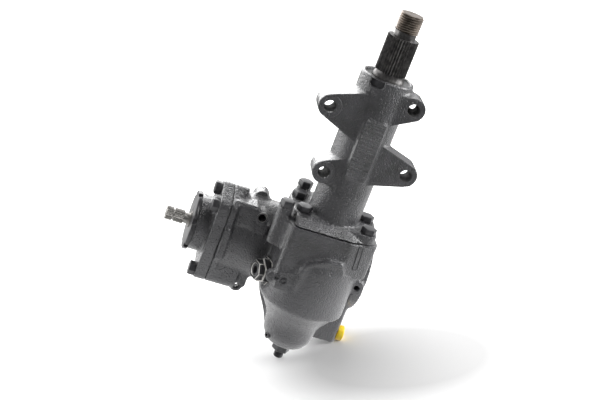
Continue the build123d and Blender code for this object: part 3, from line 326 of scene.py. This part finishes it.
# Painted light: the colour turns greyer towards the bottom, for the light the floor throws up.
low = add(tree, "ShaderNodeMapRange", {
    "Value": level.outputs["Z"], "From Min": painted_floor_light_top, "From Max": painted_floor_light_foot,
})
painted_floor_light = add(tree, "ShaderNodeMix", {0: low.outputs[0], 6: tone, 7: linear("#545457")}, data_type="RGBA")
tree.links.new(painted_floor_light.outputs[2], shader.inputs["Base Color"])
gloss = add(tree, "ShaderNodeMapRange", {
    "Value": cloud, "From Min": 0.3, "From Max": 0.7, "To Min": 0.30, "To Max": 0.40,
})
tree.links.new(gloss.outputs[0], shader.inputs["Roughness"])
sand = add(tree, "ShaderNodeTexNoise", {"Vector": place, "Scale": 1 / (sand_grain * mm), "Detail": 3})
hollows = add(tree, "ShaderNodeTexNoise", {"Vector": place, "Scale": 1 / (hollow_size * mm), "Detail": 2})
ground = add(tree, "ShaderNodeMath", {
    0: hollows.outputs[0], 1: 0.5, 2: sand.outputs[0],
}, operation="MULTIPLY_ADD")
pores = add(tree, "ShaderNodeTexVoronoi", {"Vector": place, "Scale": 1 / (pore_spacing * mm)})
pits = add(tree, "ShaderNodeMapRange", {
    "Value": pores.outputs["Distance"], "From Min": 0.08, "From Max": 0.32, "To Max": 0.6,
})
rough = add(tree, "ShaderNodeMath", {0: ground.outputs[0], 1: pits.outputs[0]}, operation="ADD")
for normal, depth in (("Normal", 1.5 * mm), ("Coat Normal", 0.7 * mm)):
    bump = add(tree, "ShaderNodeBump", {"Height": rough.outputs[0], "Strength": 1.0, "Distance": depth})
    tree.links.new(bump.outputs[0], shader.inputs[normal])

# Forms of the housing that its solid leaves plain. The front shoulder of the bowl is
# given by (right, back, height), the pad by (right, height), the rest by (forward, up).
shoulder = [(-20, -45, -196), (-22, -50, -180), (-23.7, -51, -163), (-20.2, -51, -152.7), (-10, -51, -147),
            (3.8, -51, -141), (19.9, -50, -141), (26, -46, -152), (24, -45, -196), (0, -48, -206)]
shoulder_root = -38
union_pad = [(-47.5, -172.3), (-29.8, -167.9), (-23.7, -150), (-14, -150), (-14, -196), (-44, -193.7)]
front_wall = [(10, 53), (36, 54), (39, 50), (40.5, 27), (36, 29), (31, 35), (20, 43), (8, 47)]
port_sill = [(40, 36.5), (41.5, 25), (34, 31), (30, 36.5)]
bolt_web = [(44, 22), (48.5, 20), (48.5, -18), (44, -22), (41, -18), (41, 18)]

forms = [
    ([on_shaft(*spot) for spot in shoulder],
     [on_shaft(right, shoulder_root, height) for right, _, height in shoulder]),
    tuple([on_shaft(right, back, height) for right, height in union_pad] for back in (-44.5, -36)),
]
for outline, inner, outer in ((front_wall, 80.5, 108), (port_sill, 62, 82), (bolt_web, 103, 111)):
    forms.append(tuple([on_worm(forward, up, out) for forward, up in outline] for out in (inner, outer)))

knee_foot, knee_top = -252 * mm, -196 * mm
knee_inside, knee_outside = 32 * mm, 56 * mm
knee_right, knee_back = 32 * mm, 44 * mm


def on_knee(vert):
    """Whether a point is on the outside of the bend between the bowl and its nose."""
    arm = vert.co - on_shaft(0, 0, 0)
    height = arm.dot(shaft_up)
    spoke = arm - shaft_up * height
    facing_out = vert.normal.dot(spoke) > 0.15 * spoke.length
    in_ring = knee_foot < height < knee_top and knee_inside < spoke.length < knee_outside
    return facing_out and in_ring and arm.dot(shaft_right) < knee_right and arm.y < knee_back


# Three drillings keep their sharp edge, each with the radius that stays as it is.
open_holes = [(on_worm(27, -53.6, 73.2), 7.5 * mm), (on_worm(47, -2.4, -59.5), 8.5 * mm),
              (on_worm(38, 43.5, 73.4), 6 * mm)]
casting("gear_housing", 1.4 * mm, 2.4 * mm, black_enamel, open_holes, forms, on_knee)


# The sector shaft's tube is a second iron casting, bolted on the housing: the flange,
# the four mounting ears with their drilled holes, and the raised plate left bare in
# front. A skirt brings the flange flush with the bolt block.
tube_enamel = black_enamel.copy()
tube_enamel.name = "black enamel on cast iron, bolt holes left dark"
tree = tube_enamel.node_tree
shader = tree.nodes["Principled BSDF"]
place = add(tree, "ShaderNodeTexCoord", {}).outputs["Object"]

# The holes were drilled after the paint and are bare grey iron, with no shine.
ear_across = 46
ear_up = 38.5
hole_at = (ear_across * mm, 0, ear_up * mm)
hole_reach = 7.3 * mm
bare_iron = linear("#5a5a5a")
flat = add(tree, "ShaderNodeVectorMath", {0: place, 1: (1, 0, 1)}, operation="MULTIPLY")
folded = add(tree, "ShaderNodeVectorMath", {0: flat.outputs[0]}, operation="ABSOLUTE")
off_hole = add(tree, "ShaderNodeVectorMath", {0: folded.outputs[0], 1: hole_at}, operation="DISTANCE")
painted = add(tree, "ShaderNodeMath", {0: off_hole.outputs["Value"], 1: hole_reach}, operation="GREATER_THAN")
enamel_here = shader.inputs["Base Color"].links[0].from_socket
colour = add(tree, "ShaderNodeMix", {0: painted.outputs[0], 6: bare_iron, 7: enamel_here}, data_type="RGBA")
tree.links.new(colour.outputs[2], shader.inputs["Base Color"])
for socket, most in (("Specular IOR Level", 0.5), ("Coat Weight", 0.9)):
    shine = add(tree, "ShaderNodeMath", {0: painted.outputs[0], 1: most}, operation="MULTIPLY")
    tree.links.new(shine.outputs[0], shader.inputs[socket])

# The raised plate has faint ripples across it. They are drawn 2.5 mm apart, as coarse as
# they need to be to show.
ripple_spacing = 2.5
ripple_stretch = 0.1
ripple_depth = 3.5
plate_middle, plate_half_height, plate_half_width = -10.8 * mm, 35 * mm, 12.2 * mm
along, across = [
    add(tree, "ShaderNodeVectorMath", {0: place, 1: way}, operation="DOT_PRODUCT").outputs["Value"]
    for way in (shaft_up, shaft_right * ripple_stretch)
]
unrolled = add(tree, "ShaderNodeCombineXYZ", {0: along, 1: across})
ripple = add(tree, "ShaderNodeTexNoise", {
    "Vector": unrolled.outputs[0], "Scale": 1 / (ripple_spacing * mm), "Detail": 2,
})
by_height = add(tree, "ShaderNodeMath", {
    0: along, 1: plate_middle, 2: plate_half_height,
}, operation="COMPARE")
by_width = add(tree, "ShaderNodeMath", {
    0: across, 1: 0, 2: plate_half_width * ripple_stretch,
}, operation="COMPARE")
side = add(tree, "ShaderNodeSeparateXYZ", {0: place})
in_front = add(tree, "ShaderNodeMath", {0: side.outputs["Y"], 1: 0}, operation="LESS_THAN")
rippled = ripple_depth
for part in (by_height, by_width, in_front, ripple):
    rippled = add(tree, "ShaderNodeMath", {0: rippled, 1: part.outputs[0]}, operation="MULTIPLY").outputs[0]
for normal in ("Normal", "Coat Normal"):
    bump = shader.inputs[normal].links[0].from_node
    height = bump.inputs["Height"].links[0].from_socket
    total = add(tree, "ShaderNodeMath", {0: height, 1: rippled}, operation="ADD")
    tree.links.new(total.outputs[0], bump.inputs["Height"])

# The skirt's corners, (right, back) at its foot and then at its top.
skirt = [(-46, -38, -46, -30), (-42.5, -42.5, -40, -31), (23.5, -42.5, 18, -33), (52, -29, 44, -25),
         (46, -18, 40, -18), (0, -10, 0, -10), (-44, -10, -44, -10)]
skirt_foot, skirt_top = -114.2, -105.5
casting("shaft_tube", 1.0 * mm, 2.0 * mm, tube_enamel, forms=[(
    [on_shaft(right, back, skirt_foot) for right, back, _, _ in skirt],
    [on_shaft(right, back, skirt_top) for _, _, right, back in skirt],
)])


# Two of the ears, those on the left, have a raised ring round the bolt hole, faced off
# for the bolt's washer. It is part of the casting and painted with it.
ring_outline = [(6.85, 1), (13.2, 1), (13.2, -0.4), (12.5, -1.2), (7.4, -1.2), (6.85, -0.6)]


def wire(metal, corners):
    """Joins corners into a closed loop of edges."""
    verts = [metal.verts.new(corner) for corner in corners]
    return [metal.edges.new((verts[i - 1], verts[i])) for i in range(len(verts))]


def turned(metal, centre, axis, side, outline, steps):
    """Turns a closed outline of (radius, height) in mm round an axis."""
    edges = wire(metal, [centre + (side * r + axis * height) * mm for r, height in outline])
    corners = [edge.verts[0] for edge in edges]
    bmesh.ops.spin(metal, geom=corners + edges, cent=centre, axis=axis, angle=2 * pi, steps=steps,
                   use_merge=True)
    bmesh.ops.recalc_face_normals(metal, faces=metal.faces)


for name, height in (("upper_spot_face", ear_up), ("lower_spot_face", -ear_up)):
    ring = bmesh.new()
    turned(ring, Vector((-ear_across, 0, height)) * mm, away, Vector((1, 0, 0)), ring_outline, 48)
    set_in(name, as_mesh(ring, name), [black_enamel], "housing")


# The valve cover is the iron flange and bearing cap bolted on at the seam.
# It is turned inside, left as cast outside and painted.
casting("valve_cover", 1.0 * mm, 1.2 * mm, black_enamel)


# The flange bolts, the cover bolts and the filler plug are forged hex heads, and the
# bearing adjuster and end cover are turned. All were sprayed with the unit, and a
# broken edge takes the light at every corner.
def break_edges(piece, width, corner):
    rounding = piece.modifiers.new("broken edges", "BEVEL")
    rounding.width = width
    rounding.segments = 2
    rounding.limit_method = "ANGLE"
    rounding.angle_limit = radians(corner)
    return rounding


def dress(name, finish, edge=0.4 * mm):
    """Stands in for a CAD node with its edges broken."""
    metal = cad_copy(name)
    bmesh.ops.dissolve_limit(metal, angle_limit=radians(1), verts=metal.verts, edges=metal.edges)
    for face in metal.faces:
        face.smooth = True
    piece = set_in(name + "_dressed", as_mesh(metal, name), [finish], "housing", name)
    break_edges(piece, edge, 30).harden_normals = True
    return piece


# Black enamel on smooth rolled steel: the same paint, more even and a little glossier,
# with a faint orange peel of about 4 mm.
black_paint, tree, shader = new_finish("black enamel on rolled steel", {"IOR": 1.5})
place, cloud, tone = clouded(tree, shader, 4.167, 3, "#363638", "#4a4a4d", 0.35, 0.75)
gloss = add(tree, "ShaderNodeMapRange", {"Value": cloud, "To Min": 0.24, "To Max": 0.38})
tree.links.new(gloss.outputs[0], shader.inputs["Roughness"])
peel = add(tree, "ShaderNodeBump", {"Height": cloud, "Strength": 0.2, "Distance": 0.3 * mm})
tree.links.new(peel.outputs[0], shader.inputs["Normal"])

for name in ("tube_bolts", "high_bolt", "filler_plug", "cover_bolts", "adjuster_lock_nut", "bearing_adjuster",
             "end_cover"):
    dress(name, black_paint)


# The sector shaft is one steel forging, hardened and ground where it runs. Its
# serrations are dark, and the rolled thread above them stayed bare. The adjusting
# screw at the other end is a stud with a painted thread.
def cut_off(metal, place, facing):
    """Cuts away what lies beyond a plane and closes the end."""
    parts = metal.verts[:] + metal.edges[:] + metal.faces[:]
    cut = bmesh.ops.bisect_plane(metal, geom=parts, plane_co=place, plane_no=facing, clear_outer=True)
    rim = [part for part in cut["geom_cut"] if isinstance(part, bmesh.types.BMEdge)]
    bmesh.ops.edgeloop_fill(metal, edges=rim)


def shortened(name, body, finish, foot, axis):
    """Stands in for a CAD node without its threaded end."""
    metal = cad_copy(name)
    cut_off(metal, foot, axis)
    bmesh.ops.recalc_face_normals(metal, faces=metal.faces)
    set_in(name + "_plain_part", as_mesh(metal, name), [finish], body, name)


def threaded(name, body, finish, foot, axis, crest, depth, pitch, length, chamfer):
    """Rolls a thread of these sizes, in mm, from its foot along an axis."""
    steps = 32
    run_in = 1.5
    turns = ceil(length / pitch + 2 * run_in)
    start = foot - axis * pitch * run_in * mm
    rod = bmesh.new()
    profile = [rod.verts.new(start + (axis * pitch * share + shaft_right * r) * mm)
               for share, r in ((0, crest - depth), (0.42, crest), (0.58, crest), (1, crest - depth))]
    flanks = [rod.edges.new(profile[i:i + 2]) for i in range(3)]
    bmesh.ops.spin(rod, geom=profile + flanks, cent=start, axis=axis, dvec=axis * pitch * mm / steps,
                   angle=2 * pi * turns, steps=steps * turns, use_merge=False)
    bmesh.ops.remove_doubles(rod, verts=rod.verts, dist=2e-6)
    cut_off(rod, foot, -axis)
    cut_off(rod, foot + axis * length * mm, axis)
    for vert in rod.verts:
        height = (vert.co - foot).dot(axis)
        middle = foot + axis * height
        spoke = vert.co - middle
        most = (crest - max(0, chamfer - (length - height / mm))) * mm
        if spoke.length > most:
            vert.co = middle + spoke * most / spoke.length
    bmesh.ops.recalc_face_normals(rod, faces=rod.faces)
    set_in(name, as_mesh(rod, name), [finish], body)


# Rolled thread, bare steel with a brownish film of rust-preventing oil. It has run
# together in patches of about 7 mm.
thread_steel, tree, shader = new_finish("rolled thread steel, oiled", {"Metallic": 1.0, "Roughness": 0.45})
clouded(tree, shader, 6.667, 3, "#665f58", "#8d837b", 0.35, 0.7)

# Forged steel with a grey-black phosphate coat: dark, with a dull metallic sheen. The
# coat's crystals are too fine to show and are drawn as patches of 4.5 mm.
phosphated, tree, shader = new_finish("phosphated forging steel", {"Metallic": 0.85, "Roughness": 0.38})
clouded(tree, shader, 4.545, 3, "#4c4b4b", "#757372", 0.35, 0.7)

# The shaft's thread is drawn with a pitch of 2.5 mm. The real one, about 2 mm, would
# blur at the picture's size.
thread_foot = on_shaft(0, 0, 124.1)
screw_foot = on_shaft(0, 0, -289.5)
shortened("sector_shaft", "sector", phosphated, thread_foot, shaft_up)
threaded("sector_shaft_thread", "sector", thread_steel, thread_foot, shaft_up,
         crest=13.5, depth=1.3, pitch=2.5, length=19.8, chamfer=1.2)
shortened("adjusting_screw", "housing", black_paint, screw_foot, -shaft_up)
threaded("adjusting_screw_thread", "housing", black_paint, screw_foot, -shaft_up,
         crest=5.8, depth=0.8, pitch=1.25, length=9.5, chamfer=0.8)


# Everything that runs inside is ground steel in oil: the rack piston with its balls,
# the worm, the valve and the bearings. The dust cover and the gasket's edge were
# sprayed with the outside.
sprayed_too = ("dust_cover", "sector_seal", "tube_gasket")

# Ground bearing steel, bright and nearly even. The marks of the wheel are too fine to
# show and are drawn as clouds of 1.4 mm.
ground_steel, tree, shader = new_finish("ground bearing steel", {"Metallic": 1.0, "Roughness": 0.25})
clouded(tree, shader, 1.4286, 2, "#9a9a99", "#c4c4c2")

for name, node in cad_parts.items():
    node.data.materials.clear()
    node.data.materials.append(black_paint if name in sprayed_too else ground_steel)


# The input shaft is bare turned steel, with serrations rolled on both lands and the
# groove for the clamp bolt between them. It has the satin grey of a dry machined part,
# whose tool marks are too fine to show and are drawn as clouds of 2.4 mm.
turned_steel, tree, shader = new_finish("turned bare steel", {"Metallic": 1.0, "Roughness": 0.5})
clouded(tree, shader, 2.381, 3, "#94928f", "#bab8b4", 0.3, 0.7)
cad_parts["input_shaft"].data.materials[0] = turned_steel


# The hydraulic union is a steel hex body screwed into its boss, with a nipple, a short
# nut and a hex collar on the same axis. It was sprayed with the unit, and the spanner
# has rubbed its corners down to the bright steel, which also stands as a painted highlight.
union_turn = radians(21.5)
union_out = -shaft_right * cos(union_turn) - away * sin(union_turn)
union_foot = on_shaft(-50.6, -5, -192.8)

# Steel rubbed bright along an edge. On the broken edges it is partly wear and partly a painted highlight.
worn_steel_and_highlight = new_finish("worn bright steel edge and painted highlight", {
    "Metallic": 1.0, "Base Color": linear("#c4c2be"), "Roughness": 0.3,
})[0]


def fitting(name, metal, finishes, edge):
    """Sets in a small steel piece, with its last finish on the broken edges."""
    bmesh.ops.recalc_face_normals(metal, faces=metal.faces)
    piece = set_in(name, as_mesh(metal, name), finishes, "housing")
    break_edges(piece, edge, 40).material = len(finishes) - 1


def union_hex(name, across, bore_r, low, high, edge):
    """Turns a ring on the union's axis and mills six flats on it, in mm."""
    flat_r = across / 2
    metal = bmesh.new()
    outline = [(bore_r, low), (flat_r, low), (flat_r, high), (bore_r, high)]
    turned(metal, union_foot, union_out, shaft_up, outline, 24)
    for vert in metal.verts:
        arm = vert.co - union_foot
        spoke = arm - union_out * arm.dot(union_out)
        if spoke.length > (bore_r + flat_r) / 2 * mm:
            off_flat = (spoke.angle(shaft_up) + pi / 6) % (pi / 3) - pi / 6
            vert.co += spoke * (1 / cos(off_flat) - 1)
    fitting(name, metal, [black_paint, worn_steel_and_highlight], edge)


dress("union_nipple", black_paint)
union_body = dress("union_body", black_paint, 0.7 * mm)
union_body.data.materials.append(worn_steel_and_highlight)
union_body.modifiers["broken edges"].material = 1
union_hex("union_nut", across=21.5, bore_r=7.3, low=10.1, high=16.3, edge=0.7 * mm)
union_hex("union_collar", across=30, bore_r=10, low=-1.5, high=2.2, edge=0.6 * mm)


# Small turned steel pieces close or line the drillings of the housing: two screws in
# the pad beside the union, a collar in the front port, which is open, and a plug at
# the foot of the bowl. All were sprayed with the unit.
screw_outline = [(1.2, -3), (3.8, -3), (3.8, 1.6), (2.2, 1.6), (2, 0)]
collar_outline = [(4.2, -4), (6.6, -4), (6.6, 0), (4.8, 0)]
plug_outline = [(1.5, -2), (4, -2), (4, 2), (1.5, 2)]
front_port = on_worm(40, 43.5, 73.4)
plug_right, plug_back, plug_height = -24.6, -15, -268
plug_out = (shaft_right * plug_right + away * plug_back).normalized()
plug_foot = on_shaft(plug_right, plug_back, plug_height) - plug_out * mm

for name, spot in (("passage_screw_1", (-36.4, -44.3, -182.2)), ("passage_screw_2", (-45.3, -44.3, -179.5))):
    screw = bmesh.new()
    turned(screw, on_shaft(*spot), -away, shaft_right, screw_outline, 20)
    fitting(name, screw, [black_paint], 0.3 * mm)

# The collar's broken edges are bright steel, a painted highlight.
collar = bmesh.new()
turned(collar, front_port, -away, shaft_right, collar_outline, 32)
fitting("front_port_collar", collar, [black_paint, worn_steel_and_highlight], 0.3 * mm)

plug = bmesh.new()
turned(plug, plug_foot, plug_out, shaft_up, plug_outline, 20)
fitting("nose_plug", plug, [black_paint], 0.4 * mm)


# The nameplate on the right-hand facet of the block is a thin pressed frame, riveted on
# blank and painted over. Its corners are (right, back, height), with how far they stand
# off the facet.
facet_out = (shaft_right * 16 - away * 31.8).normalized()
plate_rim = [(32.6, -38.8, -117.5), (38.4, -35.9, -117.5), (41.3, -34.4, -147.5), (34.8, -37.7, -147.5)]
plate_field = [(33.6, -38.3, -119.5), (37.6, -36.3, -119.5), (40.2, -35, -145.5), (35.6, -37.3, -145.5)]
plate = bmesh.new()
loops = [wire(plate, [on_shaft(*spot) + facet_out * proud * mm for spot in outline])
         for outline, proud in ((plate_rim, -1), (plate_rim, 0.7), (plate_field, 0.2), (plate_field, -1))]
for near, far in zip(loops, loops[1:] + loops[:1]):
    bmesh.ops.bridge_loops(plate, edges=near + far)
fitting("blank_nameplate", plate, [black_paint], 0.2 * mm)


# The return port is closed for shipping with a pushed-in plug of yellow polythene. It
# is moulded and a little waxy, so light sinks into it, and its shade drifts softly over
# about 8 mm.
yellow_plastic, tree, shader = new_finish("yellow polythene, moulded", {
    "IOR": 1.5, "Roughness": 0.42, "Subsurface Weight": 0.35, "Subsurface Radius": (4 * mm, 3 * mm, 1 * mm),
})
clouded(tree, shader, 8.333, 2, "#ffcf1a", "#ffdf3c")
dress("transit_plug", yellow_plastic)
